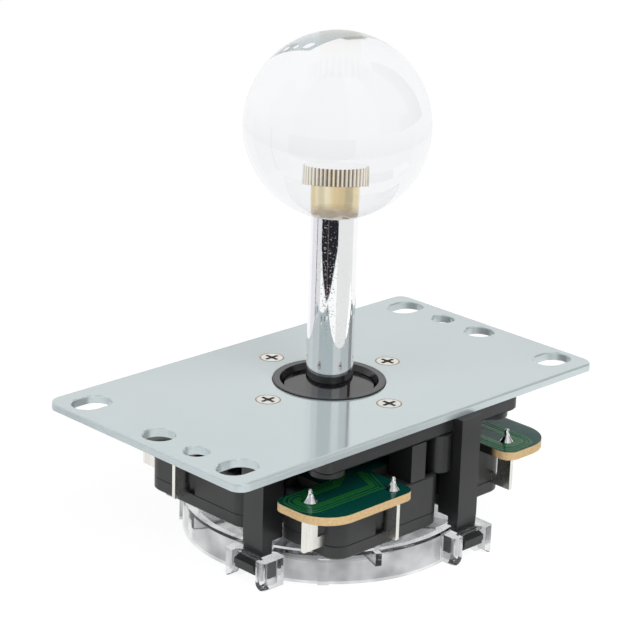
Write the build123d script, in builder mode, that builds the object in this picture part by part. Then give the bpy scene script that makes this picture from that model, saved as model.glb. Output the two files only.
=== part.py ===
from build123d import *
import os
from math import cos, pi, radians, sin, sqrt

# Arcade joystick lever: a ball-topped lever on a pivot, in a moulded housing that hangs
# under a flat mounting plate. A board carries four switches round the lever, and a clear
# gate clipped on the housing's legs limits the travel.
# The origin is the centre of the plate's top face, X runs along the plate, Z points up.
# The four sides repeat round the lever: side features are drawn for the front (-Y) side
# and placed on planes turned by a quarter turn each.

# Mounting plate
plate_length = 95.0
plate_margin = 0.5
plate_thickness = 1.6
plate_corner_radius = 2.5
plate_edge_fillet = 0.5
hole_edge_break = 0.2
slot_inset_x = 5.5
slot_inset_y = 6.5
slot_length = 8.0
slot_width = 6.0
round_hole_inset = 4.75
round_hole_diameter = 6.0
small_hole_diameter = 4.7
small_hole_pitch_y = 20.2

# Plate screws
screw_stand_off = 5.15
screw_head_diameter = 4.8
screw_shank_diameter = 2.8
screw_bite = 3.4
screw_cross_share = 0.66
screw_cross_width = 0.7
screw_cross_depth = 0.9

# Housing
neck_diameter = 21.7
neck_rise = 0.3
neck_clearance = 0.1
flange_thickness = 3.0
flange_corner_radius = 2.0
flange_edge_break = 0.4
core_wall_step = 1.15
core_floor_thickness = 1.0
corner_boss_diameter = 6.6
corner_boss_inset = 4.0
corner_boss_height = 1.3
corner_boss_bore = 2.6
screw_boss_diameter = 6.0
screw_boss_height = 4.6
rib_thickness = 1.2
rib_height = 2.4

# Housing legs, one on each side
leg_gap = 2.05
leg_width = 5.2
leg_thickness = 2.5
leg_stand_off = 2.3
leg_rib_depth = 2.6
leg_rib_end_gap = 0.6
leg_switch_gap = 0.4
leg_taper_height = 6.8
leg_taper_depth = 0.5
leg_foot_drop = 0.25
barb_depth = 2.1
barb_seat = 0.9
barb_slope = 0.5
barb_upper_face = 1.1
barb_lower_face = 0.8
barb_step = 0.3
barb_height = 3.2

# Blocks and posts that stand on the switches
block_start = -3.8
block_width = 3.75
block_depth = 5.7
block_wall = 1.7
post_diameter = 4.8
post_overhang = 0.3
post_proud = 0.6

# Pivot
pivot_depth = 3.5
pivot_ball_diameter = 17.9
pivot_clearance = 0.05
pivot_top_height = 2.6
pivot_bottom_height = 6.0
bowl_rim_width = 1.35
shaft_hole_diameter = 10.4

# Shaft and ball
shaft_diameter = 9.05
shaft_lower_diameter = 6.0
shaft_stud_diameter = 3.9
shaft_stud_spare = 0.4
shaft_end_length = 1.1
shaft_edge_break = 0.4
running_clearance = 0.05
ball_diameter = 35.0
ball_centre_height = 50.2
ball_flat_diameter = 11.66
insert_body_diameter = 5.9
insert_body_length = 9.0
insert_head_diameter = 8.0
insert_head_length = 2.4
insert_bore_diameter = 4.0
knurl_count = 40
knurl_land = 0.05
insert_fit = 0.02

# Centering flange, actuator, spring and retainer
centering_gap = 1.75
centering_diameter = 13.0
centering_thickness = 1.0
actuator_gap = 1.0
actuator_gate_gap = 1.7
actuator_bore_depth = 6.9
actuator_wall = 0.8
spring_wire_diameter = 0.9
spring_clearance = 0.2
spring_shaft_gap = 0.3
spring_turns = 5.5
washer_inset = 0.6
washer_thickness = 0.5
clip_thickness = 0.7
clip_stand_off = 0.4
clip_groove_depth = 0.7
clip_band_width = 1.1
clip_lug_width = 1.6
clip_mouth_width = 5.0
clip_mouth_depth = 1.6
stack_clearance = 0.05

# Circuit board
board_gap = 5.7
board_thickness = 1.6
board_overhang = 5.3
board_corner_radius = 7.0
board_core_gap = 0.5
notch_block_gap = 0.7
notch_lead = 2.9
notch_end_gap = 4.75
notch_corner_radius = 2.4
terminal_hole_diameter = 1.8
pick_tolerance = 0.01

# Switches
switch_length = 27.8
switch_depth = 15.9
switch_height = 10.3
switch_right_end = 5.0
switch_top_gap = 0.1
switch_cover_height = 2.6
switch_corner_radius = 3.2
switch_edge_break = 0.3
switch_seam_groove = 0.12
switch_hole_diameter = 3.2
switch_hole_inset = 2.8
plunger_diameter = 3.0
plunger_gap = 2.4
plunger_tail = 3.6
plunger_travel = 0.8
plunger_dome = 0.6
plunger_collar_diameter = 5.2
plunger_collar_height = 0.8
recess_width = 3.7
recess_depth = 1.0

# Switch terminals, placed from the case's outer left corner
terminal_width = 3.3
terminal_thickness = 0.8
terminal_tang_width = 1.1
terminal_drop = 8.0
terminal_foot_height = 2.2
common_reach = 3.4
common_inset = 3.55
open_offset = 11.9
open_reach = 2.1
solder_base_diameter = 2.6
solder_tip_diameter = 0.9
solder_height = 2.5
solder_waist_diameter = 1.35
solder_waist_height = 0.9
solder_cap_height = 0.25

# Five-way header on the board
header_pin_spacing = 2.5
header_pins = 5
header_end_wall = 2.4
header_wall = 0.8
header_top_gap = 0.1
header_depth = 6.6
header_back_wall = 1.6
header_overhang = 1.0
header_solder_gap = 0.4
pin_size = 0.64
pin_reach = 4.6
pin_tail = 1.0

# Gate
gate_gap = 1.0
gate_height = 6.4
gate_inset = 0.5
gate_wall = 1.9
gate_plate_thickness = 1.3
gate_collar_diameter = 32.6
gate_lip_width = 2.3
gate_collar_wall = 1.5
gate_rib_count = 8
gate_rib_thickness = 1.2
gate_rib_height = 2.6
skirt_rib_width = 2.1
skirt_rib_proud = 0.5
pad_length = 8.0
pad_width = 3.0
pad_clearance = 0.05
clip_frame_side = 2.75
clip_frame_reach = 2.1
clip_frame_drop = 0.9
clip_frame_depth = 5.6
clip_frame_corner_radius = 0.8
pocket_clearance = 0.15
window_clearance = 0.6
window_foot_radius = 1.5
rail_height = 0.7
rail_thickness = 0.85
restrictor_thickness = 2.4
restrictor_hub_rise = 1.1
restrictor_play = 3.25
restrictor_corner_radius = 2.0
restrictor_fit = 0.2
bead_count = 4
bead_height = 0.35

# Places across the lever's axis that follow from the sizes above
switch_left_end = switch_right_end - switch_length
leg_inner = leg_rib_depth + leg_switch_gap - switch_left_end
leg_outer = leg_inner + leg_thickness
leg_start = switch_right_end + leg_gap
leg_end = leg_start + leg_width
flange_size = 2 * (leg_outer - leg_stand_off)
plate_width = flange_size + 2 * plate_margin
slot_pitch_x = plate_length - 2 * slot_inset_x
slot_pitch_y = plate_width - 2 * slot_inset_y
round_hole_pitch = plate_length - 2 * round_hole_inset
screw_circle_radius = neck_diameter / 2 + screw_stand_off
screw_length = plate_thickness + flange_thickness + screw_bite
screw_cross_length = screw_head_diameter * screw_cross_share
core_diameter = neck_diameter + 2 * core_wall_step
corner_boss_centre = flange_size / 2 - corner_boss_inset
post_centre_x = switch_right_end + post_overhang
bowl_mouth_radius = neck_diameter / 2 - bowl_rim_width
cup_radius = pivot_ball_diameter / 2 + pivot_clearance
shaft_radius = shaft_lower_diameter / 2
bore_radius = shaft_radius + running_clearance
pocket_radius = shaft_radius + spring_shaft_gap + spring_wire_diameter + spring_clearance
actuator_diameter = 2 * (pocket_radius + actuator_wall)
washer_diameter = actuator_diameter - 2 * washer_inset
clip_groove_diameter = shaft_lower_diameter - 2 * clip_groove_depth
clip_diameter = shaft_lower_diameter + 2 * (clip_stand_off + clip_band_width)
switch_outer = flange_size / 2 - neck_clearance
switch_inner = switch_outer - switch_depth
plunger_tip = actuator_diameter / 2 + plunger_gap
plunger_length = switch_inner - plunger_tip + plunger_tail
common_x = switch_left_end - common_reach
common_y = common_inset - switch_outer
open_x = switch_left_end + open_offset
open_y = -switch_outer - open_reach
board_size = 2 * (switch_outer + board_overhang)
board_hole_diameter = core_diameter + 2 * board_core_gap
notch_start = open_x + notch_lead
notch_end = -common_y - notch_end_gap
notch_floor = switch_outer - block_depth - notch_block_gap
header_width = (header_pins - 1) * header_pin_spacing + 2 * header_end_wall
header_centre_x = solder_base_diameter / 2 - open_x + header_solder_gap + header_width / 2
gate_radius = leg_outer - gate_inset
gate_lip_diameter = gate_collar_diameter - 2 * gate_lip_width
clip_frame_start = leg_start - clip_frame_side
clip_frame_end = leg_end + clip_frame_side
clip_frame_face = leg_outer + clip_frame_reach
rail_outer = leg_outer + pocket_clearance + rail_thickness
restrictor_square = actuator_diameter + 2 * restrictor_play

# Heights that follow from the sizes above
plate_bottom = -plate_thickness
flange_bottom = plate_bottom - flange_thickness
board_top = flange_bottom - board_gap
board_bottom = board_top - board_thickness
header_height = board_gap - header_top_gap
switch_top = board_bottom - switch_top_gap
switch_bottom = switch_top - switch_height
switch_seam = switch_bottom + switch_cover_height
plunger_z = (switch_top + switch_bottom) / 2
terminal_bottom = board_bottom - terminal_drop
gate_top = switch_bottom - gate_gap
gate_bottom = gate_top - gate_height
pivot_z = -pivot_depth
pivot_top = pivot_z + pivot_top_height
pivot_bottom = pivot_z - pivot_bottom_height
seat_bottom = pivot_z - sqrt(cup_radius**2 - (shaft_hole_diameter / 2) ** 2)
core_bottom = seat_bottom - core_floor_thickness
centering_top = core_bottom - centering_gap
centering_bottom = centering_top - centering_thickness
actuator_top = centering_bottom - actuator_gap
actuator_bottom = gate_top - actuator_gate_gap
washer_bottom = actuator_bottom - washer_thickness
clip_top = washer_bottom - stack_clearance
clip_bottom = clip_top - clip_thickness
shaft_bottom = clip_bottom - stack_clearance - shaft_end_length
ball_flat = ball_centre_height - sqrt((ball_diameter / 2) ** 2 - (ball_flat_diameter / 2) ** 2)
head_bottom = ball_flat + insert_body_length
head_top = head_bottom + insert_head_length
rail_floor = gate_top - clip_frame_drop - rail_height
barb_top = rail_floor - stack_clearance
leg_bottom = barb_top - barb_height - leg_foot_drop

os.makedirs("parts", exist_ok=True)


def save(piece, name):
    """Label a finished piece and write it to its own file."""
    piece.part.label = name
    export_step(piece.part, f"parts/{name}.step")


def side_plane(turn, height):
    """Horizontal plane at a height, turned about the lever's axis."""
    return Plane.XY.rotated((0, 0, turn)).offset(height)


def outward_plane(turn, reach, height):
    """Upright plane on one side, facing outwards, at a reach from the axis."""
    return side_plane(turn, height) * Plane(origin=(0, -reach, 0), x_dir=(1, 0, 0), z_dir=(0, -1, 0))


def span(low, high):
    """Centre of a stretch and its length."""
    return (low + high) / 2, high - low


def slab(turn, x_range, y_range, z_range, mode=Mode.ADD):
    """Rectangular block on one side, given by its three ranges."""
    x_centre, x_size = span(*x_range)
    y_centre, y_size = span(*y_range)
    with BuildSketch(side_plane(turn, z_range[0])) as footprint:
        with Locations((x_centre, y_centre)):
            Rectangle(x_size, y_size)
    extrude(footprint.sketch, amount=z_range[1] - z_range[0], mode=mode)


def rod(turn, centre, diameter, z_range, mode=Mode.ADD):
    """Upright round bar on one side, given by its centre and height range."""
    with BuildSketch(side_plane(turn, z_range[0])) as footprint:
        with Locations(centre):
            Circle(diameter / 2)
    extrude(footprint.sketch, amount=z_range[1] - z_range[0], mode=mode)


quarter_turns = (0, 90, 180, 270)
side_names = ("front", "right", "back", "left")


def make_plate():
    """Flat plate with its neck hole, slots, round holes and countersinks."""
    with BuildPart() as mounting_plate:
        with BuildSketch(Plane.XY.offset(plate_bottom)):
            RectangleRounded(plate_length, plate_width, plate_corner_radius)
            Circle(neck_diameter / 2 + neck_clearance, mode=Mode.SUBTRACT)
            with GridLocations(slot_pitch_x, slot_pitch_y, 2, 2):
                SlotOverall(slot_length, slot_width, mode=Mode.SUBTRACT)
            with GridLocations(round_hole_pitch, 0, 2, 1):
                Circle(round_hole_diameter / 2, mode=Mode.SUBTRACT)
            corner = (round_hole_pitch / 2, small_hole_pitch_y / 2)
            with Locations(corner, (-corner[0], -corner[1])):
                Circle(small_hole_diameter / 2, mode=Mode.SUBTRACT)
        extrude(amount=plate_thickness)
        fillet(mounting_plate.faces().sort_by(Axis.Z)[-1].outer_wire().edges(), plate_edge_fillet)
        rims = mounting_plate.faces().sort_by(Axis.Z)[-1].inner_wires().edges()
        chamfer([rim for rim in rims if abs(rim.center().X) > flange_size / 2], hole_edge_break)
        with Locations(Plane.XY):
            with PolarLocations(screw_circle_radius, 4):
                CounterSinkHole(
                    screw_shank_diameter / 2 + neck_clearance,
                    screw_head_diameter / 2 + running_clearance,
                    plate_thickness,
                    counter_sink_angle=90,
                )
    save(mounting_plate, "mounting_plate")


def make_plate_screws():
    """Four countersunk cross-head screws through the plate into the housing."""
    head_radius = screw_head_diameter / 2
    shank_radius = screw_shank_diameter / 2
    with BuildPart() as screw:
        with BuildSketch(Plane.XZ):
            with BuildLine():
                Polyline(
                    (0, 0),
                    (head_radius, 0),
                    (shank_radius, shank_radius - head_radius),
                    (shank_radius, shank_radius - screw_length),
                    (0, -screw_length),
                    close=True,
                )
            make_face()
        revolve(axis=Axis.Z)
        with BuildSketch(Plane.XY):
            Rectangle(screw_cross_length, screw_cross_width)
            Rectangle(screw_cross_width, screw_cross_length)
        extrude(amount=-screw_cross_depth, mode=Mode.SUBTRACT)
    with BuildPart() as plate_screws:
        with PolarLocations(screw_circle_radius, 4):
            add(screw.part)
    save(plate_screws, "plate_screws")


def add_leg(turn):
    """One snap leg with its stiffening rib and barbed tip, added to the housing."""
    upright = side_plane(turn, 0) * Plane.YZ.offset(leg_start)
    with BuildSketch(upright) as blade:
        with BuildLine():
            Polyline(
                (-leg_inner, plate_bottom),
                (-leg_outer, plate_bottom),
                (-leg_outer, leg_bottom + leg_taper_height),
                (-leg_outer + leg_taper_depth, leg_bottom),
                (-leg_inner, leg_bottom),
                close=True,
            )
        make_face()
    extrude(blade.sketch, amount=leg_width)
    rib_reach = leg_inner - leg_rib_depth
    rib_end = switch_bottom + leg_rib_end_gap
    slab(turn, (leg_start, leg_end), (-leg_inner, -rib_reach), (rib_end, flange_bottom))
    root = -(leg_inner + leg_outer) / 2
    tip = -leg_outer - barb_depth
    step_z = barb_top - barb_slope - barb_upper_face
    with BuildSketch(upright) as barb:
        with BuildLine():
            Polyline(
                (root, barb_top),
                (-leg_outer - barb_seat, barb_top),
                (tip, barb_top - barb_slope),
                (tip, step_z),
                (tip + barb_step, step_z),
                (tip + barb_step, step_z - barb_lower_face),
                (root, barb_top - barb_height),
                close=True,
            )
        make_face()
    extrude(barb.sketch, amount=leg_width)


def add_block(turn):
    """Block, back wall and round post that stand on one switch."""
    foot = switch_top + stack_clearance
    block_end = block_start + block_width
    face = -flange_size / 2 + neck_clearance
    back = face + block_depth
    slab(turn, (block_start, block_end), (face, back), (foot, flange_bottom))
    slab(turn, (block_end, leg_end), (back - block_wall, back), (foot, flange_bottom))
    post_y = face - post_proud + post_diameter / 2
    rod(turn, (post_centre_x, post_y), post_diameter, (foot, flange_bottom))


def make_housing():
    """Moulded body: neck, flange, pivot cup, bosses, ribs, blocks and snap legs."""
    with BuildPart() as housing:
        with BuildSketch(Plane.XY.offset(flange_bottom)):
            RectangleRounded(flange_size, flange_size, flange_corner_radius)
        extrude(amount=flange_thickness)
        chamfer(housing.faces().sort_by(Axis.Z)[0].edges(), flange_edge_break)
        rod(0, (0, 0), neck_diameter, (plate_bottom, neck_rise))
        rod(0, (0, 0), core_diameter, (core_bottom, flange_bottom))
        with BuildSketch(Plane.XY.offset(flange_bottom)):
            with PolarLocations(flange_size / 4, 4, start_angle=45):
                Rectangle(flange_size / 2, rib_thickness)
        extrude(amount=-rib_height)
        with BuildSketch(Plane.XY.offset(flange_bottom)):
            with GridLocations(2 * corner_boss_centre, 2 * corner_boss_centre, 2, 2):
                Circle(corner_boss_diameter / 2)
        extrude(amount=-corner_boss_height)
        with BuildSketch(Plane.XY.offset(flange_bottom - corner_boss_height)):
            with GridLocations(2 * corner_boss_centre, 2 * corner_boss_centre, 2, 2):
                Circle(corner_boss_bore / 2)
        extrude(amount=corner_boss_height + flange_thickness / 2, mode=Mode.SUBTRACT)
        with BuildSketch(Plane.XY.offset(flange_bottom)):
            with PolarLocations(screw_circle_radius, 4):
                Circle(screw_boss_diameter / 2)
        extrude(amount=-screw_boss_height)
        for turn in quarter_turns:
            add_block(turn)
            add_leg(turn)
        with BuildSketch(Plane.XY.offset(plate_bottom)):
            with PolarLocations(screw_circle_radius, 4):
                Circle(screw_shank_diameter / 2 + running_clearance)
        extrude(amount=-screw_length, mode=Mode.SUBTRACT)
        hole_radius = shaft_hole_diameter / 2
        middle_angle = radians(45)
        with BuildSketch(Plane.XZ):
            with BuildLine():
                Polyline(
                    (cup_radius, pivot_z),
                    (cup_radius, pivot_top),
                    (bowl_mouth_radius, neck_rise),
                    (0, neck_rise),
                    (0, core_bottom),
                    (hole_radius, core_bottom),
                    (hole_radius, seat_bottom),
                )
                ThreePointArc(
                    (hole_radius, seat_bottom),
                    (cup_radius * cos(middle_angle), pivot_z - cup_radius * sin(middle_angle)),
                    (cup_radius, pivot_z),
                )
            make_face()
        revolve(axis=Axis.Z, mode=Mode.SUBTRACT)
    save(housing, "housing")


def make_pivot_ball():
    """Truncated ball that carries the shaft and rocks in the housing's cup."""
    radius = pivot_ball_diameter / 2
    top_radius = sqrt(radius**2 - pivot_top_height**2)
    bottom_radius = sqrt(radius**2 - pivot_bottom_height**2)
    with BuildPart() as pivot_ball:
        with BuildSketch(Plane.XZ):
            with BuildLine():
                ThreePointArc((bottom_radius, pivot_bottom), (radius, pivot_z), (top_radius, pivot_top))
                Polyline(
                    (top_radius, pivot_top),
                    (bore_radius, pivot_top),
                    (bore_radius, pivot_bottom),
                    (bottom_radius, pivot_bottom),
                )
            make_face()
        revolve(axis=Axis.Z)
    save(pivot_ball, "pivot_ball")


def make_shaft():
    """Turned shaft: plain upper rod, stud for the ball, lower rod with a clip groove."""
    upper = shaft_diameter / 2
    stud = shaft_stud_diameter / 2
    stud_top = head_bottom + shaft_stud_spare
    groove = clip_groove_diameter / 2
    groove_top = clip_top + stack_clearance
    groove_bottom = clip_bottom - stack_clearance
    with BuildPart() as shaft:
        with BuildSketch(Plane.XZ):
            with BuildLine():
                Polyline(
                    (0, stud_top),
                    (stud - shaft_edge_break, stud_top),
                    (stud, stud_top - shaft_edge_break),
                    (stud, ball_flat),
                    (upper - shaft_edge_break, ball_flat),
                    (upper, ball_flat - shaft_edge_break),
                    (upper, pivot_top),
                    (shaft_radius, pivot_top),
                    (shaft_radius, groove_top),
                    (groove, groove_top),
                    (groove, groove_bottom),
                    (shaft_radius, groove_bottom),
                    (shaft_radius, shaft_bottom + shaft_edge_break),
                    (shaft_radius - shaft_edge_break, shaft_bottom),
                    (0, shaft_bottom),
                    close=True,
                )
            make_face()
        revolve(axis=Axis.Z)
    save(shaft, "shaft")


def make_ball_top():
    """Clear ball with a flat for the shaft's shoulder and a cavity for the insert."""
    radius = ball_diameter / 2
    flat_radius = ball_flat_diameter / 2
    body = insert_body_diameter / 2 + insert_fit
    head = insert_head_diameter / 2 + insert_fit
    with BuildPart() as ball_top:
        with BuildSketch(Plane.XZ):
            with BuildLine():
                ThreePointArc(
                    (flat_radius, ball_flat),
                    (radius, ball_centre_height),
                    (0, ball_centre_height + radius),
                )
                Polyline(
                    (0, ball_centre_height + radius),
                    (0, head_top + insert_fit),
                    (head, head_top + insert_fit),
                    (head, head_bottom - insert_fit),
                    (body, head_bottom - insert_fit),
                    (body, ball_flat),
                    (flat_radius, ball_flat),
                )
            make_face()
        revolve(axis=Axis.Z)
    save(ball_top, "ball_top")


def make_ball_insert():
    """Brass insert: round body, knurled head and the bore that takes the stud."""
    head_radius = insert_head_diameter / 2
    knurl_pitch = insert_head_diameter * sin(pi / knurl_count)
    knurl_side = (knurl_pitch - knurl_land) / sqrt(2)
    with BuildPart() as ball_insert:
        rod(0, (0, 0), insert_body_diameter, (ball_flat, head_bottom))
        with BuildSketch(Plane.XY.offset(head_bottom)):
            Circle(head_radius)
            with PolarLocations(head_radius, knurl_count):
                Rectangle(knurl_side, knurl_side, rotation=45, mode=Mode.SUBTRACT)
        extrude(amount=insert_head_length)
        bore_depth = insert_body_length + insert_head_length / 2
        rod(0, (0, 0), insert_bore_diameter, (ball_flat, ball_flat + bore_depth), Mode.SUBTRACT)
    save(ball_insert, "ball_insert")


def make_centering_flange():
    """Disc that slides on the shaft above the spring and brings the lever back upright."""
    with BuildPart() as centering_flange:
        rod(0, (0, 0), centering_diameter, (centering_bottom, centering_top))
        chamfer(centering_flange.edges().group_by(Axis.Z)[-1], centering_thickness / 4)
        rod(0, (0, 0), 2 * bore_radius, (centering_bottom, centering_top), Mode.SUBTRACT)
    save(centering_flange, "centering_flange")


def make_actuator():
    """Collar that holds the spring in its counterbore and presses the plungers."""
    with BuildPart() as actuator:
        rod(0, (0, 0), actuator_diameter, (actuator_bottom, actuator_top))
        chamfer(actuator.edges().group_by(Axis.Z)[0], actuator_wall / 2)
        rod(0, (0, 0), 2 * pocket_radius, (actuator_top - actuator_bore_depth, actuator_top), Mode.SUBTRACT)
        rod(0, (0, 0), 2 * bore_radius, (actuator_bottom, actuator_top), Mode.SUBTRACT)
    save(actuator, "actuator")


def make_return_spring():
    """Round-wire compression spring between the centering flange and the actuator."""
    foot = actuator_top - actuator_bore_depth
    mean_radius = pocket_radius - spring_clearance - spring_wire_diameter / 2
    low = foot + spring_wire_diameter / 2 + stack_clearance
    high = centering_bottom - spring_wire_diameter / 2 - stack_clearance
    height = high - low
    with BuildPart() as return_spring:
        with BuildLine():
            coil = Helix(height / spring_turns, height, mean_radius, center=(0, 0, low))
        with BuildSketch(Plane(origin=coil @ 0, z_dir=coil % 0)):
            Circle(spring_wire_diameter / 2)
        sweep(path=coil, is_frenet=True)
    save(return_spring, "return_spring")


def make_thrust_washer():
    """Flat washer between the actuator and the retaining clip."""
    with BuildPart() as thrust_washer:
        rod(0, (0, 0), washer_diameter, (washer_bottom, actuator_bottom))
        rod(0, (0, 0), 2 * bore_radius, (washer_bottom, actuator_bottom), Mode.SUBTRACT)
    save(thrust_washer, "thrust_washer")


def make_e_clip():
    """Open retaining clip whose three lugs sit in the shaft's groove."""
    radius = clip_diameter / 2
    inner = radius - clip_band_width
    lug_reach = clip_groove_diameter / 2 + running_clearance
    with BuildPart() as e_clip:
        with BuildSketch(Plane.XY.offset(clip_bottom)):
            Circle(radius)
            Circle(inner, mode=Mode.SUBTRACT)
            with Locations((radius, 0)):
                Rectangle(2 * clip_mouth_depth, clip_mouth_width, mode=Mode.SUBTRACT)
            lug_centre = (inner + lug_reach) / 2
            with PolarLocations(lug_centre, 3, start_angle=90, angular_range=270):
                Rectangle(inner - lug_reach + clip_band_width / 2, clip_lug_width)
            Circle(lug_reach, mode=Mode.SUBTRACT)
        extrude(amount=clip_thickness)
    save(e_clip, "e_clip")


def make_circuit_board():
    """Board with a tab over each switch, notches for the legs and a central hole."""
    notch_centre, notch_length = span(notch_start, notch_end)
    board_edge = board_size / 2
    with BuildPart() as circuit_board:
        with BuildSketch(Plane.XY.offset(board_bottom)):
            RectangleRounded(board_size, board_size, board_corner_radius)
        extrude(amount=board_thickness)
        for turn in quarter_turns:
            slab(
                turn,
                (notch_start, notch_end),
                (-board_edge, -notch_floor),
                (board_bottom, board_top),
                Mode.SUBTRACT,
            )
        upright = circuit_board.edges().filter_by(Axis.Z)
        reach = max(abs(notch_start), abs(notch_end))
        corners = [
            edge
            for edge in upright
            if edge.geom_type == GeomType.LINE
            and max(abs(edge.center().X), abs(edge.center().Y)) > board_edge - pick_tolerance
            and min(abs(edge.center().X), abs(edge.center().Y)) < reach + pick_tolerance
        ]
        fillet(corners, notch_corner_radius)
        rod(0, (0, 0), board_hole_diameter, (board_bottom, board_top), Mode.SUBTRACT)
        for turn in quarter_turns:
            for spot in ((common_x, common_y), (open_x, open_y)):
                rod(turn, spot, terminal_hole_diameter, (board_bottom, board_top), Mode.SUBTRACT)
        for pin_x in header_pin_places():
            spot = (pin_x, header_tail_y())
            rod(0, spot, 2 * pin_size, (board_bottom, board_top), Mode.SUBTRACT)
    save(circuit_board, "circuit_board")


def header_pin_places():
    """X places of the header's pins."""
    middle = (header_pins - 1) / 2
    return [header_centre_x + (index - middle) * header_pin_spacing for index in range(header_pins)]


def header_mouth_y():
    """Y of the header's open face, just past the board's back edge."""
    return board_size / 2 + header_overhang


def header_tail_y():
    """Y where the header's pins turn down into the board."""
    return header_mouth_y() - header_depth + header_back_wall / 2


def make_solder_joints():
    """Solder cones on the board, one on each switch terminal."""
    cap_start = solder_height - solder_cap_height
    with BuildPart() as cone:
        with BuildSketch(Plane.XZ):
            with BuildLine():
                Line((0, 0), (solder_base_diameter / 2, 0))
                ThreePointArc(
                    (solder_base_diameter / 2, 0),
                    (solder_waist_diameter / 2, solder_waist_height),
                    (solder_tip_diameter / 2, cap_start),
                )
                Polyline(
                    (solder_tip_diameter / 2, cap_start),
                    (solder_tip_diameter / 4, solder_height),
                    (0, solder_height),
                    (0, 0),
                )
            make_face()
        revolve(axis=Axis.Z)
    with BuildPart() as solder_joints:
        for turn in quarter_turns:
            with Locations(side_plane(turn, board_top)):
                with Locations((common_x, common_y), (open_x, open_y)):
                    add(cone.part)
    save(solder_joints, "solder_joints")


def make_switch(turn, side):
    """One switch: case base, case cover, plunger and its two soldered terminals."""
    case_centre_x, _ = span(switch_left_end, switch_right_end)
    case_centre_y = -(switch_outer + switch_inner) / 2
    hole_places = (
        (switch_right_end - switch_hole_inset, -switch_outer + switch_hole_inset),
        (switch_left_end + switch_hole_inset, -switch_inner - switch_hole_inset),
    )
    with BuildPart() as base:
        with BuildSketch(side_plane(turn, switch_seam)):
            with Locations((case_centre_x, case_centre_y)):
                RectangleRounded(switch_length, switch_depth, switch_corner_radius)
        extrude(amount=switch_top - switch_seam)
        chamfer(base.faces().sort_by(Axis.Z)[-1].edges(), switch_edge_break)
        chamfer(base.faces().sort_by(Axis.Z)[0].edges(), switch_seam_groove)
        slab(
            turn,
            (open_x - recess_width / 2, open_x + recess_width / 2),
            (-switch_outer, -switch_outer + recess_depth),
            (switch_seam, switch_top),
            Mode.SUBTRACT,
        )
        with BuildSketch(outward_plane(turn, switch_inner, plunger_z)):
            Circle(plunger_collar_diameter / 2)
        extrude(amount=-plunger_collar_height)
        with BuildSketch(outward_plane(turn, switch_inner - plunger_collar_height, plunger_z)):
            Circle(plunger_diameter / 2 + running_clearance)
        hole_end = plunger_tip + plunger_length + plunger_travel + 2 * stack_clearance
        extrude(amount=hole_end - switch_inner + plunger_collar_height, mode=Mode.SUBTRACT)
        for spot in hole_places:
            rod(turn, spot, switch_hole_diameter, (switch_seam, switch_top), Mode.SUBTRACT)
    save(base, f"switch_base_{side}")

    with BuildPart() as cover:
        with BuildSketch(side_plane(turn, switch_bottom)):
            with Locations((case_centre_x, case_centre_y)):
                RectangleRounded(switch_length, switch_depth, switch_corner_radius)
        extrude(amount=switch_cover_height)
        chamfer(cover.faces().sort_by(Axis.Z)[0].edges(), switch_edge_break)
        chamfer(cover.faces().sort_by(Axis.Z)[-1].edges(), switch_seam_groove)
        for spot in hole_places:
            rod(turn, spot, switch_hole_diameter, (switch_bottom, switch_seam), Mode.SUBTRACT)
    save(cover, f"switch_cover_{side}")

    with BuildPart() as plunger:
        with BuildSketch(outward_plane(turn, plunger_tip, plunger_z)):
            Circle(plunger_diameter / 2)
        extrude(amount=plunger_length)
        tip_face = plunger.faces().sort_by(Axis((0, 0, 0), side_plane(turn, 0).y_dir))[-1]
        fillet(tip_face.edges(), plunger_dome)
    save(plunger, f"switch_plunger_{side}")

    with BuildPart() as terminals:
        half_width = terminal_width / 2
        half_sheet = terminal_thickness / 2
        half_tang = terminal_tang_width / 2
        blade_top = board_bottom - running_clearance
        foot_top = terminal_bottom + terminal_foot_height
        slab(
            turn,
            (common_x - half_width, common_x + half_width),
            (common_y - half_sheet, common_y + half_sheet),
            (terminal_bottom, blade_top),
        )
        slab(
            turn,
            (common_x, switch_left_end),
            (common_y - half_sheet, common_y + half_sheet),
            (terminal_bottom, foot_top),
        )
        slab(
            turn,
            (common_x - half_tang, common_x + half_tang),
            (common_y - half_sheet, common_y + half_sheet),
            (blade_top, board_top),
        )
        slab(
            turn,
            (open_x - half_sheet, open_x + half_sheet),
            (open_y - half_width, open_y + half_width),
            (terminal_bottom, blade_top),
        )
        slab(
            turn,
            (open_x - half_sheet, open_x + half_sheet),
            (open_y, -switch_outer),
            (terminal_bottom, foot_top),
        )
        slab(
            turn,
            (open_x - half_sheet, open_x + half_sheet),
            (open_y - half_tang, open_y + half_tang),
            (blade_top, board_top),
        )
    save(terminals, f"switch_terminals_{side}")


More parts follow.
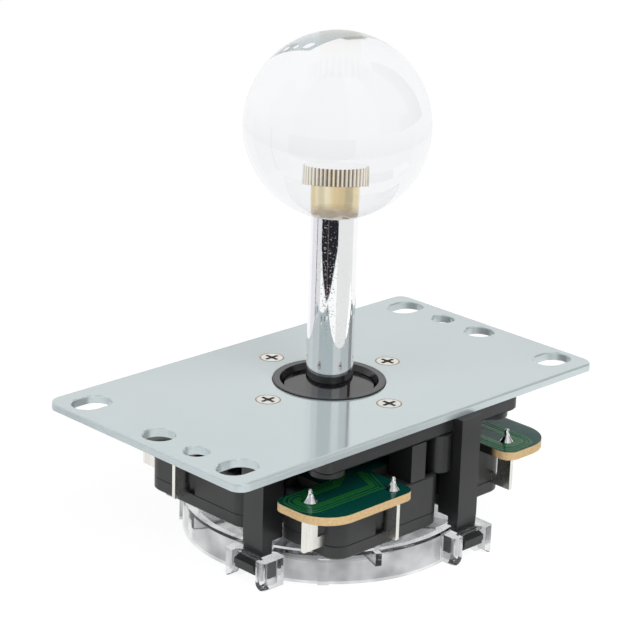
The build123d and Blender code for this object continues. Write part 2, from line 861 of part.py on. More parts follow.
def make_header():
    """Side-entry header: an open shell on the board and its bent pins."""
    mouth = header_mouth_y()
    back = mouth - header_depth
    top = board_top + header_height
    half = header_width / 2
    tail_y = header_tail_y()
    pin_z = board_top + header_height / 2
    half_pin = pin_size / 2
    with BuildPart() as connector_shell:
        slab(
            0,
            (header_centre_x - half, header_centre_x + half),
            (back, mouth),
            (board_top, top),
        )
        slab(
            0,
            (header_centre_x - half + header_wall, header_centre_x + half - header_wall),
            (back + header_back_wall, mouth),
            (board_top + header_wall, top - header_wall),
            Mode.SUBTRACT,
        )
        for pin_x in header_pin_places():
            slab(
                0,
                (pin_x - half_pin, pin_x + half_pin),
                (tail_y - half_pin, back + header_back_wall),
                (pin_z - half_pin, pin_z + half_pin),
                Mode.SUBTRACT,
            )
            slab(
                0,
                (pin_x - half_pin, pin_x + half_pin),
                (tail_y - half_pin, tail_y + half_pin),
                (board_top, pin_z + half_pin),
                Mode.SUBTRACT,
            )
    save(connector_shell, "connector_shell")

    with BuildPart() as connector_pins:
        for pin_x in header_pin_places():
            pin_range = (pin_x - half_pin, pin_x + half_pin)
            tip_y = back + header_back_wall + pin_reach
            slab(0, pin_range, (tail_y - half_pin, tip_y), (pin_z - half_pin, pin_z + half_pin))
            slab(
                0,
                pin_range,
                (tail_y - half_pin, tail_y + half_pin),
                (board_bottom - pin_tail, pin_z),
            )
    save(connector_pins, "connector_pins")


def add_clip_frame(turn):
    """Solid corner of the gate that a leg's frame is cut from."""
    x_centre, x_size = span(clip_frame_start, clip_frame_end)
    with BuildSketch(side_plane(turn, gate_bottom)) as footprint:
        with Locations((x_centre, clip_frame_depth / 2 - clip_frame_face)):
            RectangleRounded(x_size, clip_frame_depth, clip_frame_corner_radius)
    extrude(footprint.sketch, amount=gate_height - clip_frame_drop)


def cut_clip_frame(turn):
    """Pocket for the leg, and the open-footed window under the rail that its barb holds."""
    pocket = (leg_start - pocket_clearance, leg_end + pocket_clearance)
    slab(
        turn,
        pocket,
        (-leg_outer - pocket_clearance, -leg_inner + pocket_clearance),
        (gate_bottom, gate_top),
        Mode.SUBTRACT,
    )
    window = (leg_start - window_clearance, leg_end + window_clearance)
    slab(turn, window, (-clip_frame_face, -rail_outer), (gate_bottom, gate_top), Mode.SUBTRACT)
    round_top = gate_bottom + window_foot_radius
    with BuildSketch(outward_plane(turn, leg_outer + pocket_clearance, 0)) as opening:
        with BuildLine():
            Polyline(
                (window[0], round_top),
                (window[0], rail_floor),
                (window[1], rail_floor),
                (window[1], round_top),
            )
            RadiusArc(
                (window[1], round_top),
                (window[1] + window_foot_radius, gate_bottom),
                -window_foot_radius,
            )
            Line(
                (window[1] + window_foot_radius, gate_bottom),
                (window[0] - window_foot_radius, gate_bottom),
            )
            RadiusArc(
                (window[0] - window_foot_radius, gate_bottom),
                (window[0], round_top),
                -window_foot_radius,
            )
        make_face()
    extrude(opening.sketch, amount=clip_frame_reach, mode=Mode.SUBTRACT)


def make_gate_frame():
    """Clear gate: skirt, top plate, collar, ribs, pads and four clip frames."""
    plate_floor = gate_top - gate_plate_thickness
    outer = gate_radius
    collar = gate_collar_diameter / 2
    with BuildPart() as gate_frame:
        with BuildSketch(Plane.XY.offset(plate_floor)):
            Circle(outer)
            Circle(gate_lip_diameter / 2, mode=Mode.SUBTRACT)
        extrude(amount=gate_plate_thickness)
        with BuildSketch(Plane.XY.offset(gate_bottom)):
            Circle(outer)
            Circle(outer - gate_wall, mode=Mode.SUBTRACT)
            Circle(collar + gate_collar_wall)
            Circle(collar, mode=Mode.SUBTRACT)
        extrude(amount=plate_floor - gate_bottom)
        with BuildSketch(Plane.XY.offset(plate_floor)):
            rib_middle, rib_length = span(collar + gate_collar_wall / 2, outer - gate_wall / 2)
            with PolarLocations(rib_middle, gate_rib_count, start_angle=45 / 2):
                Rectangle(rib_length, gate_rib_thickness)
        extrude(amount=-gate_rib_height)
        with BuildSketch(Plane.XY.offset(gate_bottom)):
            rib_middle, rib_length = span(outer - gate_wall / 2, outer + skirt_rib_proud)
            with PolarLocations(rib_middle, 4, start_angle=45):
                Rectangle(rib_length, skirt_rib_width)
        extrude(amount=gate_height - gate_plate_thickness)
        for turn in quarter_turns:
            add_clip_frame(turn)
            pad_x, _ = span(switch_left_end, switch_right_end)
            pad_y = -(switch_outer + switch_inner) / 2
            slab(
                turn,
                (pad_x - pad_length / 2, pad_x + pad_length / 2),
                (pad_y - pad_width / 2, pad_y + pad_width / 2),
                (gate_top, switch_bottom - pad_clearance),
            )
        for turn in quarter_turns:
            cut_clip_frame(turn)
        bead_z = plate_floor - restrictor_thickness - restrictor_fit - bead_height
        with BuildSketch(Plane.XY.offset(bead_z)):
            with PolarLocations(collar + gate_collar_wall / 2, bead_count, start_angle=45):
                Circle(gate_collar_wall / 2 + bead_height)
        extrude(amount=-2 * bead_height)
    save(gate_frame, "gate_frame")


def make_restrictor():
    """Insert with the square hole that stops the actuator."""
    plate_floor = gate_top - gate_plate_thickness
    disc_bottom = plate_floor - restrictor_thickness
    with BuildPart() as restrictor:
        rod(0, (0, 0), gate_collar_diameter - 2 * restrictor_fit, (disc_bottom, plate_floor))
        rod(
            0,
            (0, 0),
            gate_lip_diameter - 2 * restrictor_fit,
            (plate_floor, plate_floor + restrictor_hub_rise),
        )
        with BuildSketch(Plane.XY.offset(disc_bottom)):
            RectangleRounded(restrictor_square, restrictor_square, restrictor_corner_radius)
        extrude(amount=restrictor_thickness + restrictor_hub_rise, mode=Mode.SUBTRACT)
    save(restrictor, "restrictor")


make_plate()
make_plate_screws()
make_housing()
make_pivot_ball()
make_shaft()
make_ball_top()
make_ball_insert()
make_centering_flange()
make_actuator()
make_return_spring()
make_thrust_washer()
make_e_clip()
make_circuit_board()
make_solder_joints()
for quarter_turn, side_name in zip(quarter_turns, side_names):
    make_switch(quarter_turn, side_name)
make_header()
make_gate_frame()
make_restrictor()
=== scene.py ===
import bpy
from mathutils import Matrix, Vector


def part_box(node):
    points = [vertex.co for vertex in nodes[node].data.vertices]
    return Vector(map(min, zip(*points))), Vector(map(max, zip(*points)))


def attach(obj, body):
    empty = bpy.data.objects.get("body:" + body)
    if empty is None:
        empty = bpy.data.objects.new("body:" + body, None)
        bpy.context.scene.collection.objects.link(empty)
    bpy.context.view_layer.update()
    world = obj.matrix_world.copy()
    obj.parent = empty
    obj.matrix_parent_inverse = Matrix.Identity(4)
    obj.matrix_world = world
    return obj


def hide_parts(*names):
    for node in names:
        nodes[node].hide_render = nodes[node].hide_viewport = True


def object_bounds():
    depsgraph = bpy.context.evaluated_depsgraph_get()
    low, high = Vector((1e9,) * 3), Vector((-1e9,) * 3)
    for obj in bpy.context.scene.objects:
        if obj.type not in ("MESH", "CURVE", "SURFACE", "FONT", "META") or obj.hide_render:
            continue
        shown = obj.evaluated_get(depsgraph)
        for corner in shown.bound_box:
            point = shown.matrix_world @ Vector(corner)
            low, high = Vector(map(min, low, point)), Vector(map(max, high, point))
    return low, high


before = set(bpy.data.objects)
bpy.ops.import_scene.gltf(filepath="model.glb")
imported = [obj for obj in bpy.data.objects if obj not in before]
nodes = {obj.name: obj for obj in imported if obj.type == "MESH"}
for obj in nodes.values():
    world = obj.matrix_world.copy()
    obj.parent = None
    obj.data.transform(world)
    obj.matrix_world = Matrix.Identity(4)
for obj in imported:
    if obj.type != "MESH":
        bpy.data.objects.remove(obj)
cad_box = [list(corner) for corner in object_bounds()]

from math import asin, cos, pi, radians, sin

import bpy
from mathutils import Matrix, Vector

sides = ("front", "right", "back", "left")
mm = 0.001
white = (1.0, 1.0, 1.0)

# Camera, solved from the plate's outline and holes
camera_place = Vector((-0.300248, -0.298418, 0.161549))
camera_azimuth = -44.89
camera_elevation = 19.45
camera_roll = 1.79
focal_px = 2369.0
picture_px = 640.0
sensor_width = 36.0

# Sizes of the dressed nodes that their boxes don't give
screw_head_radius = 2.4 * mm
bowl_radius = 10.4 * mm
insert_head_length = 2.4 * mm

# Clear ball: the air under its flat keeps it off the shaft's shoulder, so no two faces share a plane
shoulder_gap = 0.03 * mm
ball_rows = 128
ball_columns = 256

# Traces on the board: the front switch's common terminal, then reach, width and run of each loop round it
common_spot = (-26.2 * mm, -22.35 * mm)
trace_loops = (
    (2.2 * mm, 1.5 * mm, 13.5 * mm),
    (3.45 * mm, 0.4 * mm, 14.0 * mm),
    (4.2 * mm, 0.5 * mm, 14.5 * mm),
)
trace_corner_share = 0.7
trace_arc_steps = 8
trace_lead_in = (2.8 * mm, 6.0 * mm)
trace_lead_out = (5.0 * mm, 3.0 * mm)
trace_top_share = 0.8
trace_lift = 0.005 * mm
trace_height = 0.04 * mm

# Floor: its size, then how much of it glows to the eye and in reflections, and how brightly
floor_size = 6.0
floor_glow = 0.80
floor_shine = 1.15

# Light on the object
world_light = 0.24
key_power = 4.6
fill_power = 2.6
lamp_distance = 0.9
lamp_size = 0.6

# Sheets on the floor that the metal mirrors: lifts that keep them in layers, and where they start and end
under_lift = 0.3 * mm
sheet_lift = 0.5 * mm
line_lift = 1.0 * mm
sheet_start = 0.10
sheet_end = 2.0

# Near edge of the dark floor that the lever mirrors: azimuth from the camera, then reach from the axis
dark_wedge = (
    (-59.0, 0.1835),
    (-53.0, 0.1710),
    (-47.0, 0.1590),
    (-36.0, 0.1470),
    (-27.8, 0.1396),
    (-9.6, 0.1470),
    (1.0, 0.1590),
    (11.0, 0.1710),
    (21.3, 0.1835),
)

# Patches of floor in front of the plate, which its front edge mirrors
patch_near = -95 * mm
patch_far = -64 * mm
patch_split = 61 * mm
patch_end = 120 * mm

# Curved cards round the object
band_steps = 12
room_distance = 2.1
line_distance = 2.0
softbox_distance = 1.9

# Sockets of a Mix node that mixes two colours
mix_factor = 0
mix_first = 6
mix_second = 7
mix_result = 2


def camera_axes():
    """Right, up and back directions of the photograph's camera."""
    azimuth, elevation, roll = (radians(a) for a in (camera_azimuth, camera_elevation, camera_roll))
    back = Vector((sin(azimuth) * cos(elevation), -cos(azimuth) * cos(elevation), sin(elevation)))
    level = (-back).cross(Vector((0, 0, 1))).normalized()
    upright = level.cross(-back)
    right = cos(roll) * level + sin(roll) * upright
    up = cos(roll) * upright - sin(roll) * level
    return right, up, back


def make_camera():
    """Camera at the photograph's place, with its focal length."""
    turn = Matrix(camera_axes()).transposed().to_4x4()
    lens = bpy.data.cameras.new("photo_camera")
    lens.sensor_width = sensor_width
    lens.lens = focal_px / picture_px * sensor_width
    lens.clip_start = 0.01
    lens.clip_end = 20.0
    camera = bpy.data.objects.new("photo_camera", lens)
    camera.matrix_world = Matrix.Translation(camera_place) @ turn
    bpy.context.scene.collection.objects.link(camera)
    bpy.context.scene.camera = camera


class Surface:
    """A procedural material with short ways to add and join its nodes."""

    def __init__(self, name):
        self.material = bpy.data.materials.new(name)
        self.material.use_nodes = True
        self.tree = self.material.node_tree
        self.shader = self.tree.nodes["Principled BSDF"]
        coordinates = self.add("ShaderNodeTexCoord")
        self.place = coordinates.outputs["Object"]
        self.x, self.y, self.z = self.split(self.place)
        self.up = self.split(coordinates.outputs["Normal"])[2]
        self.facing_up = self.math("ABSOLUTE", self.up)

    def add(self, kind, **settings):
        """New node with the given settings."""
        node = self.tree.nodes.new(kind)
        for name, value in settings.items():
            setattr(node, name, value)
        return node

    def join(self, source, target):
        """Link from an output to an input."""
        self.tree.links.new(source, target)

    def feed(self, value, socket):
        """Gives a socket a node's output, a colour or a number."""
        if isinstance(value, bpy.types.NodeSocket):
            self.join(value, socket)
        elif isinstance(value, tuple):
            socket.default_value = (*value, 1)
        else:
            socket.default_value = value

    def set(self, **values):
        """Values that are the same all over the surface, on the shader's own sockets."""
        for name, value in values.items():
            self.shader.inputs[name.replace("_", " ")].default_value = value

    def split(self, vector):
        """The x, y and z of a vector."""
        parts = self.add("ShaderNodeSeparateXYZ")
        self.join(vector, parts.inputs["Vector"])
        return parts.outputs

    def math(self, operation, first, second=0.0):
        """Result of an operation on one or two values."""
        node = self.add("ShaderNodeMath", operation=operation)
        self.feed(first, node.inputs[0])
        self.feed(second, node.inputs[1])
        return node.outputs["Value"]

    def distance(self, x, y):
        """Distance of a point from the zero of x and y."""
        squares = self.math("ADD", self.math("MULTIPLY", x, x), self.math("MULTIPLY", y, y))
        return self.math("SQRT", squares)

    def noise(self, scale, detail, rough=0.5, stretch=(1, 1, 1)):
        """Noise over the piece, from 0 to 1."""
        mapping = self.add("ShaderNodeMapping")
        mapping.inputs["Scale"].default_value = stretch
        self.join(self.place, mapping.inputs["Vector"])
        texture = self.add("ShaderNodeTexNoise")
        texture.inputs["Scale"].default_value = scale
        texture.inputs["Detail"].default_value = detail
        texture.inputs["Roughness"].default_value = rough
        self.join(mapping.outputs["Vector"], texture.inputs["Vector"])
        return texture.outputs["Fac"]

    def scale(self, source, low, high, start=0.0, end=1.0):
        """A value that goes from low to high as the source goes from start to end."""
        ranged = self.add("ShaderNodeMapRange")
        for name, value in {"From Min": start, "From Max": end, "To Min": low, "To Max": high}.items():
            ranged.inputs[name].default_value = value
        self.join(source, ranged.inputs["Value"])
        return ranged.outputs["Result"]

    def rise(self, source, start, end):
        """Nothing below the start and one above the end."""
        return self.scale(source, 0.0, 1.0, start, end)

    def fall(self, source, start, end):
        """One below the start and nothing above the end."""
        return self.scale(source, 1.0, 0.0, start, end)

    def mix(self, factor, first, second):
        """The first colour where the factor is 0, and the second where it is 1."""
        mixer = self.add("ShaderNodeMix", data_type="RGBA")
        self.feed(factor, mixer.inputs[mix_factor])
        self.feed(first, mixer.inputs[mix_first])
        self.feed(second, mixer.inputs[mix_second])
        return mixer.outputs[mix_result]

    def colour(self, source):
        """Base colour of the surface."""
        self.join(source, self.shader.inputs["Base Color"])

    def rough(self, source):
        """Roughness of the surface."""
        self.join(source, self.shader.inputs["Roughness"])

    def bump(self, height, distance, strength):
        """Small relief of the surface."""
        bump = self.add("ShaderNodeBump")
        bump.inputs["Distance"].default_value = distance
        bump.inputs["Strength"].default_value = strength
        self.join(height, bump.inputs["Height"])
        self.join(bump.outputs["Normal"], self.shader.inputs["Normal"])

    def dress(self, *pieces):
        """Gives the material to each piece."""
        for piece in pieces:
            piece.data.materials.clear()
            piece.data.materials.append(self.material)


def plate_metal():
    """Zinc-plated sheet steel: a clear mirror image over a pale haze, and duller cut edges."""
    s = Surface("plate_satin")
    s.set(Metallic=0.42)
    s.colour(s.mix(s.noise(40, 4), (0.595, 0.672, 0.684), (0.652, 0.726, 0.740)))
    cut_edge = s.scale(s.facing_up, 0.20, 0.0, 0.2, 0.9)
    s.rough(s.math("ADD", s.scale(s.noise(300, 3), 0.07, 0.11), cut_edge))
    s.bump(s.noise(2500, 2), 0.01 * mm, 0.25)
    return s


def screw_metal():
    """Plated screw heads with a brown-gold line round the rim and painted shade in the recess at the cross
    centre.
    """
    s = Surface("screw_plated")
    s.set(Metallic=1.0)
    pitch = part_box("plate_screws")[1].x - screw_head_radius
    side_x, side_y = s.math("ABSOLUTE", s.x), s.math("ABSOLUTE", s.y)
    along = s.math("SUBTRACT", s.math("MAXIMUM", side_x, side_y), pitch)
    from_centre = s.distance(along, s.math("MINIMUM", side_x, side_y))
    plated = s.mix(s.noise(900, 3), (0.66, 0.65, 0.62), (0.80, 0.79, 0.76))
    rim = s.rise(from_centre, screw_head_radius - 0.35 * mm, screw_head_radius - 0.15 * mm)
    lined = s.mix(rim, plated, (0.34, 0.24, 0.13))
    # Painted shade in the recess at the centre of each head.
    centre = s.fall(from_centre, 0.45 * mm, 0.75 * mm)
    s.colour(s.mix(centre, lined, (0.05, 0.045, 0.035)))
    s.rough(s.scale(s.noise(1500, 3), 0.18, 0.32))
    return s


def shaft_chrome():
    """Bright plating with fine pits, apart from the smooth foot near the plate."""
    s = Surface("shaft_chrome")
    s.set(Metallic=1.0)
    s.colour(s.mix(s.noise(120, 2), (0.86, 0.87, 0.88), (0.93, 0.93, 0.94)))
    smooth_top, pitted_bottom = 7 * mm, 11 * mm
    between_pits = s.rise(s.noise(2600, 2, 0.6), 0.285, 0.385)
    smooth = s.math("MAXIMUM", between_pits, s.fall(s.z, smooth_top, pitted_bottom))
    s.rough(s.scale(smooth, 0.16, 0.04))
    s.bump(smooth, 0.03 * mm, 0.3)
    return s


def insert_brass():
    """Turned brass with a pale knurled head, a painted highlight on its top, painted shade under it and in
    its flutes, painted reflection streaks on the body and a dull brown lower half.
    """
    s = Surface("insert_brass")
    low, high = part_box("ball_insert")
    head_radius, head_bottom = high.x, high.z - insert_head_length
    dull_top, gold_bottom = low.z + 5.0 * mm, low.z + 6.4 * mm

    # Painted reflection streaks round the gold body, from noise stretched upright.
    painted_reflection_bands = s.rise(s.noise(260, 2, 0.5, (1, 1, 0.1)), 0.35, 0.65)
    gold = s.mix(painted_reflection_bands, (0.82, 0.64, 0.36), (1.0, 0.93, 0.68))
    dull = s.fall(s.z, dull_top, gold_bottom)
    body = s.mix(dull, gold, (0.84, 0.67, 0.47))
    s.join(s.scale(dull, 1.0, 0.15), s.shader.inputs["Metallic"])

    # Painted shade under the head and a painted highlight on its top face.
    painted_underside_shade = s.fall(s.up, -0.6, -0.4)
    rim = s.mix(painted_underside_shade, (0.93, 0.88, 0.76), (0.66, 0.48, 0.30))
    head_with_painted_highlight = s.mix(s.rise(s.up, 0.4, 0.6), rim, (0.98, 0.98, 0.97))
    in_head = s.rise(s.z, head_bottom - 0.1 * mm, head_bottom)
    headed = s.mix(in_head, body, head_with_painted_highlight)

    # Painted shade in the flutes round the knurled head.
    depth = s.fall(s.distance(s.x, s.y), head_radius - 0.30 * mm, head_radius - 0.05 * mm)
    wall = s.fall(s.facing_up, 0.4, 0.6)
    painted_flute_shade = s.math("MULTIPLY", s.math("MULTIPLY", depth, wall), in_head)
    s.colour(s.mix(painted_flute_shade, headed, (0.16, 0.09, 0.045)))
    s.rough(s.scale(s.noise(1200, 2, 0.5, (1, 1, 6)), 0.16, 0.3))
    return s


def ball_clear():
    """Polished clear acrylic, frosted on the flat at its foot."""
    s = Surface("ball_clear")
    s.set(Transmission_Weight=1.0, IOR=1.49)
    s.colour(s.mix(s.noise(20, 2), (0.892, 0.901, 0.915), (0.906, 0.914, 0.926)))
    s.rough(s.scale(s.up, 0.45, 0.0, -0.99, -0.96))
    return s


def gate_clear():
    """Clear moulding with painted grey clouds for the dark reflections and shade seen through it, and a
    slightly wavy face.
    """
    s = Surface("gate_clear")
    s.set(Transmission_Weight=1.0, IOR=1.5)
    # Painted grey clouds: dark reflections and shade seen through the moulding.
    painted_reflection_cloud = s.rise(s.noise(150, 2), 0.35, 0.65)
    s.colour(s.mix(painted_reflection_cloud, (0.30, 0.31, 0.32), (0.71, 0.725, 0.73)))
    s.rough(s.scale(s.noise(500, 3), 0.03, 0.10))
    s.bump(s.noise(160, 1, 0.4, (1, 1, 0.5)), 0.6 * mm, 0.6)
    return s


def moulded_black(name, dark, light, gloss, polished_radius=0.0):
    """Black moulded plastic: fine grain, a few light scuffs, and polished within a radius of the axis."""
    s = Surface(name)
    s.set(IOR=1.5)
    grain = s.mix(s.noise(250, 4), dark, light)
    scuffs = s.scale(s.noise(420, 6, 0.7), 0.0, 0.35, 0.73, 0.80)
    s.colour(s.mix(scuffs, grain, (0.32, 0.32, 0.33)))
    matt = s.scale(s.noise(900, 3), gloss - 0.06, gloss + 0.08)
    share = s.scale(s.distance(s.x, s.y), 0.3, 1.0, polished_radius, polished_radius + 0.2 * mm)
    s.rough(s.math("MULTIPLY", matt, share))
    s.bump(s.noise(4000, 2), 0.02 * mm, 0.3)
    return s


def board_coat():
    """Green coated board with tan edges on its tabs and painted shade on the edges between them, under the
    housing.
    """
    s = Surface("board_coat")
    s.set(IOR=1.42)
    flat = s.rise(s.facing_up, 0.45, 0.55)
    green = s.mix(s.noise(150, 3), (0.002, 0.052, 0.043), (0.004, 0.078, 0.060))
    tan = s.mix(s.noise(1500, 4, 0.7, (1, 1, 2)), (0.58, 0.34, 0.12), (0.98, 0.76, 0.44))
    reach = s.math("MAXIMUM", s.math("ABSOLUTE", s.x), s.math("ABSOLUTE", s.y))
    # Painted shade on the notch edges between the tabs, under the housing.
    painted_shade_between_tabs = s.fall(reach, 26.5 * mm, 28 * mm)
    edge = s.mix(painted_shade_between_tabs, tan, (0.02, 0.02, 0.015))
    s.colour(s.mix(flat, edge, green))
    s.rough(s.scale(flat, 0.6, 0.12))
    return s


def trace_coat():
    """Coated copper, a brighter green than the bare board."""
    s = Surface("trace_coat")
    s.set(IOR=1.5)
    s.colour(s.mix(s.noise(200, 3), (0.012, 0.115, 0.028), (0.020, 0.165, 0.040)))
    s.rough(s.scale(s.noise(600, 2), 0.08, 0.16))
    return s


def solder_metal():
    """Bright solder, slightly wavy."""
    s = Surface("solder_bright")
    s.set(Metallic=1.0)
    s.colour(s.mix(s.noise(700, 3), (0.80, 0.80, 0.80), (0.92, 0.92, 0.91)))
    s.rough(s.scale(s.noise(900, 3), 0.10, 0.22))
    s.bump(s.noise(900, 2), 0.1 * mm, 0.5)
    return s


def terminal_metal():
    """Tinned blades with upright streaks."""
    s = Surface("terminal_tinned")
    s.set(Metallic=1.0)
    streaks = s.noise(1600, 4, 0.6, (1, 1, 0.12))
    s.colour(s.mix(streaks, (0.66, 0.65, 0.60), (0.93, 0.92, 0.87)))
    s.rough(s.scale(streaks, 0.34, 0.18))
    s.bump(streaks, 0.02 * mm, 0.4)
    return s


def header_nylon():
    """Natural nylon."""
    s = Surface("header_nylon")
    s.set(IOR=1.53, Subsurface_Weight=0.1, Subsurface_Scale=1.0 * mm)
    s.colour(s.mix(s.noise(300, 3), (0.80, 0.77, 0.66), (0.86, 0.84, 0.75)))
    s.rough(s.scale(s.noise(900, 3), 0.35, 0.5))
    return s


def spring_metal():
    """Plain spring steel."""
    s = Surface("spring_wire")
    s.set(Metallic=1.0)
    s.colour(s.mix(s.noise(500, 3), (0.42, 0.42, 0.43), (0.6, 0.6, 0.61)))
    s.rough(s.scale(s.noise(1500, 3), 0.25, 0.4))
    return s


def dress_nodes():
    """Gives each carried-over node its finish."""
    plate_metal().dress(nodes["mounting_plate"])
    screw_metal().dress(nodes["plate_screws"], nodes["thrust_washer"])
    shaft_chrome().dress(nodes["shaft"])
    insert_brass().dress(nodes["ball_insert"])
    gate_clear().dress(nodes["gate_frame"], nodes["restrictor"])
    body = moulded_black("body_black", (0.016, 0.0165, 0.018), (0.026, 0.0265, 0.028), 0.34, bowl_radius)
    body.dress(nodes["housing"], nodes["centering_flange"], nodes["actuator"])
    pivot = moulded_black("pivot_black", (0.006, 0.006, 0.007), (0.011, 0.011, 0.012), 0.09)
    pivot.dress(nodes["pivot_ball"])
    case = moulded_black("switch_black", (0.020, 0.0205, 0.022), (0.032, 0.0325, 0.034), 0.38)
    terminals = terminal_metal()
    for side in sides:
        for part in ("base", "cover", "plunger"):
            case.dress(nodes[f"switch_{part}_{side}"])
        terminals.dress(nodes[f"switch_terminals_{side}"])
    terminals.dress(nodes["connector_pins"])
    board_coat().dress(nodes["circuit_board"])
    solder_metal().dress(nodes["solder_joints"])
    header_nylon().dress(nodes["connector_shell"])
    spring_metal().dress(nodes["e_clip"])


def make_mesh(name, points, faces, smooth=False):
    """Mesh object from points and faces."""
    mesh = bpy.data.meshes.new(name)
    mesh.from_pydata(points, [], faces)
    mesh.validate()
    mesh.update()
    for face in mesh.polygons:
        face.use_smooth = smooth
    piece = bpy.data.objects.new(name, mesh)
    bpy.context.scene.collection.objects.link(piece)
    return piece


def make_ball():
    """Solid clear ball with its flat, in place of the node with a hollow for the insert."""
    low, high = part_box("ball_top")
    radius = (high.x - low.x) / 2
    centre_z = high.z - radius
    flat_z = low.z + shoulder_gap
    lowest = asin((flat_z - centre_z) / radius)
    turns = [2 * pi * column / ball_columns for column in range(ball_columns)]
    points = [Vector((0, 0, flat_z))]
    for row in range(ball_rows):
        angle = lowest + (pi / 2 - lowest) * row / ball_rows
        ring, height = radius * cos(angle), centre_z + radius * sin(angle)
        points += [Vector((ring * cos(turn), ring * sin(turn), height)) for turn in turns]
    points.append(Vector((0, 0, high.z)))

    pairs = [(column, (column + 1) % ball_columns) for column in range(ball_columns)]
    flat_faces = [(0, 1 + b, 1 + a) for a, b in pairs]
    faces = list(flat_faces)
    for row in range(ball_rows - 1):
        below = 1 + row * ball_columns
        above = below + ball_columns
        faces += [(below + a, below + b, above + b, above + a) for a, b in pairs]
    last = 1 + (ball_rows - 1) * ball_columns
    faces += [(last + a, last + b, len(points) - 1) for a, b in pairs]

    ball = make_mesh("clear_ball", points, faces, smooth=True)
    for face in ball.data.polygons[:len(flat_faces)]:
        face.use_smooth = False
    ball_clear().dress(ball)
    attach(ball, "lever")
    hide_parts("ball_top")


def make_spring():
    """Return spring in place of the node, pressed between two pieces and riding with the carrier."""
    node = nodes["return_spring"]
    spring = bpy.data.objects.new("coil_spring", node.data.copy())
    spring.matrix_world = node.matrix_world.copy()
    bpy.context.scene.collection.objects.link(spring)
    spring_metal().dress(spring)
    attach(spring, "carrier")
    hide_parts("return_spring")


def loop_path(reach, run):
    """Points of a trace that comes in on one side of a common terminal and goes back on the other."""
    centre_x, centre_y = common_spot
    corner = trace_corner_share * reach
    left, right = centre_x - reach, centre_x + run
    front, back = centre_y - reach, centre_y + reach
    points = [(right + trace_lead_in[0], front + trace_lead_in[1]), (right, front)]
    for arc_y, start in ((front + corner, -90), (back - corner, -180)):
        for step in range(trace_arc_steps + 1):
            angle = radians(start - 90 * step / trace_arc_steps)
            points.append((left + corner + corner * cos(angle), arc_y + corner * sin(angle)))
    points += [(right - trace_lead_out[0], back), (right, back + trace_lead_out[1])]
    return points


def ribbon(path, width, base):
    """Points and faces of a flat strip with sloped sides along a path."""
    top = base + trace_height
    profile = ((-1.0, base), (-trace_top_share, top), (trace_top_share, top), (1.0, base))
    last = len(path) - 1
    points, faces = [], []
    for index, (x, y) in enumerate(path):
        before, after = Vector(path[max(index - 1, 0)]), Vector(path[min(index + 1, last)])
        across = (after - before).normalized().orthogonal() * width / 2
        points += [(x + share * across.x, y + share * across.y, level) for share, level in profile]
    for index in range(last):
        start = 4 * index
        faces += [(start + k, start + k + 1, start + k + 5, start + k + 4) for k in range(3)]
    return points, faces


def make_traces():
    """Raised copper traces round the common terminal on each tab of the board."""
    board_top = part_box("circuit_board")[1].z
    points, faces = [], []
    for tab in range(len(sides)):
        spin = Matrix.Rotation(tab * pi / 2, 4, "Z")
        for reach, width, run in trace_loops:
            loop_points, loop_faces = ribbon(loop_path(reach, run), width, board_top + trace_lift)
            start = len(points)
            points += [spin @ Vector(point) for point in loop_points]
            faces += [tuple(start + corner for corner in face) for face in loop_faces]
    traces = make_mesh("board_traces", points, faces)
    trace_coat().dress(traces)
    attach(traces, "base")


def seen_share(tree):
    """One for camera, glossy and transmission rays, and nothing for the light that falls on the object."""
    path = tree.nodes.new("ShaderNodeLightPath")
    total = path.outputs["Is Camera Ray"]
    for name in ("Is Glossy Ray", "Is Transmission Ray"):
        more = tree.nodes.new("ShaderNodeMath")
        more.operation = "MAXIMUM"
        tree.links.new(total, more.inputs[0])
        tree.links.new(path.outputs[name], more.inputs[1])
        total = more.outputs["Value"]
    return total


def white_background(tree, strength):
    """White world shader of the given strength."""
    background = tree.nodes.new("ShaderNodeBackground")
    background.inputs["Color"].default_value = (*white, 1)
    background.inputs["Strength"].default_value = strength
    return background.outputs["Background"]


def make_world():
    """White to the eye and in reflections, with a plain level of light on the object."""
    world = bpy.data.worlds.new("studio")
    bpy.context.scene.world = world
    world.use_nodes = True
    tree = world.node_tree
    tree.nodes.clear()
    mix = tree.nodes.new("ShaderNodeMixShader")
    tree.links.new(seen_share(tree), mix.inputs["Fac"])
    tree.links.new(white_background(tree, world_light), mix.inputs[1])
    tree.links.new(white_background(tree, 1.0), mix.inputs[2])
    out = tree.nodes.new("ShaderNodeOutputWorld")
    tree.links.new(mix.outputs["Shader"], out.inputs["Surface"])


def floor_pale():
    """Matt pale floor that partly glows to the eye, so that it is white and still keeps a shadow."""
    material = bpy.data.materials.new("floor_pale")
    material.use_nodes = True
    tree = material.node_tree
    matt = tree.nodes["Principled BSDF"]
    matt.inputs["Base Color"].default_value = (0.9, 0.9, 0.9, 1)
    matt.inputs["Roughness"].default_value = 0.9
    matt.inputs["Specular IOR Level"].default_value = 0.0
    shine = tree.nodes.new("ShaderNodeEmission")
    shine.inputs["Strength"].default_value = floor_shine
    share = tree.nodes.new("ShaderNodeMath")
    share.operation = "MULTIPLY"
    share.inputs[1].default_value = floor_glow
    mix = tree.nodes.new("ShaderNodeMixShader")
    tree.links.new(seen_share(tree), share.inputs[0])
    tree.links.new(share.outputs["Value"], mix.inputs["Fac"])
    tree.links.new(matt.outputs["BSDF"], mix.inputs[1])
    tree.links.new(shine.outputs["Emission"], mix.inputs[2])
    tree.links.new(mix.outputs["Shader"], tree.nodes["Material Output"].inputs["Surface"])
    return material


def make_floor():
    """Floor at the gate's foot."""
    half = floor_size / 2
    height = cad_box[0][2]
    corners = [(half * x, half * y, height) for x, y in ((-1, -1), (1, -1), (1, 1), (-1, 1))]
    floor = make_mesh("floor", corners, [(0, 1, 2, 3)])
    floor.data.materials.append(floor_pale())


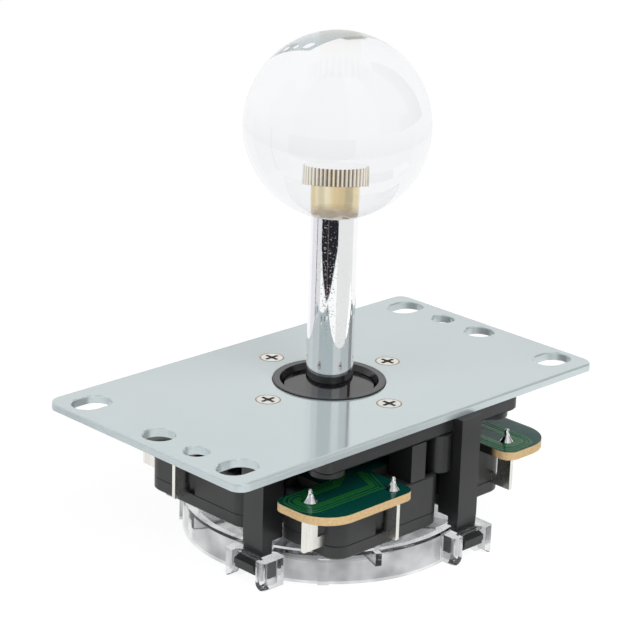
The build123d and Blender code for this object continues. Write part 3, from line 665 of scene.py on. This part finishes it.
def direction(azimuth, elevation):
    """Direction from the object: azimuth 0 is the camera's side, and more turns to its right."""
    a = radians(azimuth + camera_azimuth)
    e = radians(elevation)
    return Vector((sin(a) * cos(e), -cos(a) * cos(e), sin(e)))


def make_lamp(name, azimuth, elevation, power):
    """Soft square lamp that faces the object."""
    lamp = bpy.data.lights.new(name, "AREA")
    lamp.shape = "SQUARE"
    lamp.size = lamp_size
    lamp.energy = power
    holder = bpy.data.objects.new(name, lamp)
    way = direction(azimuth, elevation)
    holder.location = way * lamp_distance
    holder.rotation_euler = way.to_track_quat("Z", "Y").to_euler()
    bpy.context.scene.collection.objects.link(holder)
    holder.visible_camera = False
    holder.visible_glossy = False
    holder.visible_transmission = False


def glow(name, colour, strength):
    """Plain glowing material for a studio card."""
    material = bpy.data.materials.new(name)
    material.use_nodes = True
    tree = material.node_tree
    tree.nodes.clear()
    shine = tree.nodes.new("ShaderNodeEmission")
    shine.inputs["Color"].default_value = (*colour, 1)
    shine.inputs["Strength"].default_value = strength
    out = tree.nodes.new("ShaderNodeOutputMaterial")
    tree.links.new(shine.outputs["Emission"], out.inputs["Surface"])
    return material


def make_card(name, points, faces, colour, strength=1.0, through=False):
    """Card of the studio that shows in reflections and, if asked, through the clear pieces."""
    card = make_mesh(name, points, faces)
    card.data.materials.append(glow(name, colour, strength))
    card.visible_camera = False
    card.visible_diffuse = False
    card.visible_transmission = through
    card.visible_shadow = False
    card.visible_volume_scatter = False


def make_sheet(name, near, lift, colour):
    """Sheet on the floor that starts at the given azimuths and reaches and runs far outwards."""
    height = Vector((0, 0, cad_box[0][2] + lift))
    points = [direction(azimuth, 0) * reach + height for azimuth, reach in near]
    points += [direction(azimuth, 0) * sheet_end + height for azimuth, _ in near]
    count = len(near)
    faces = [(k, k + 1, count + k + 1, count + k) for k in range(count - 1)]
    make_card(name, points, faces, colour)


def make_patch(name, left, right, colour, strength=1.0):
    """Patch of floor in front of the plate."""
    height = cad_box[0][2] + sheet_lift
    outline = ((left, patch_near), (right, patch_near), (right, patch_far), (left, patch_far))
    points = [(x, y, height) for x, y in outline]
    make_card(name, points, [(0, 1, 2, 3)], colour, strength)


def make_band(name, azimuths, elevations, distance, colour, strength=1.0, through=False):
    """Curved card round the object, between two azimuths and two elevations."""
    first, last = azimuths
    points = []
    for step in range(band_steps + 1):
        azimuth = first + (last - first) * step / band_steps
        points += [direction(azimuth, elevation) * distance for elevation in elevations]
    faces = [(2 * s, 2 * s + 2, 2 * s + 3, 2 * s + 1) for s in range(band_steps)]
    make_card(name, points, faces, colour, strength, through)


def make_floor_cards():
    """Sheets and patches on the floor that the lever and the plate's edge mirror."""
    start = sheet_start
    make_sheet("dark_floor", dark_wedge, sheet_lift, (0.020, 0.022, 0.028))
    make_sheet("brown_line", ((-28.0, 0.14), (-23.6, 0.142)), line_lift, (0.156, 0.102, 0.091))
    make_sheet("dark_line", ((-86.3, start), (-83.1, start)), line_lift, (0.05, 0.03, 0.035))
    make_sheet("lilac_floor", ((-120.0, start), (-85.7, start)), sheet_lift, (0.86, 0.84, 0.89))
    make_sheet("left_floor", ((-83.7, start), (-59.0, start)), sheet_lift, (0.78, 0.79, 0.80))
    right_edge = ((21.3, start), (60.0, start), (105.0, start))
    make_sheet("right_floor", right_edge, under_lift, (0.86, 0.87, 0.86))
    make_patch("edge_dark", 0.0, patch_split, (0.10, 0.10, 0.105))
    make_patch("edge_glow", patch_split, patch_end, white, 1.4)


def make_room_cards():
    """Grey room and softboxes that the plate, the lever and the ball mirror."""
    room, line, softbox = room_distance, line_distance, softbox_distance
    make_band("grey_room", (-57, 14), (0, 80), room, (0.50, 0.55, 0.57))
    make_band("right_room", (52, 100), (0, 80), room, (0.60, 0.61, 0.62), through=True)
    make_band("front_line", (80, 125), (0, 60), line, (0.12, 0.09, 0.07))
    make_band("left_softbox", (-95, -57), (0, 45), softbox, (0.98, 0.98, 1.0), 0.80, through=True)
    make_band("right_softbox", (14, 52), (12, 52), softbox, white, 0.88, through=True)


def make_studio():
    """World, floor, lamps and the cards that the object mirrors."""
    make_world()
    make_floor()
    make_lamp("key_lamp", 40, 48, key_power)
    make_lamp("fill_lamp", -50, 30, fill_power)
    make_floor_cards()
    make_room_cards()


make_camera()
make_studio()
dress_nodes()
make_ball()
make_spring()
make_traces()
bpy.context.scene.view_settings.view_transform = "Standard"
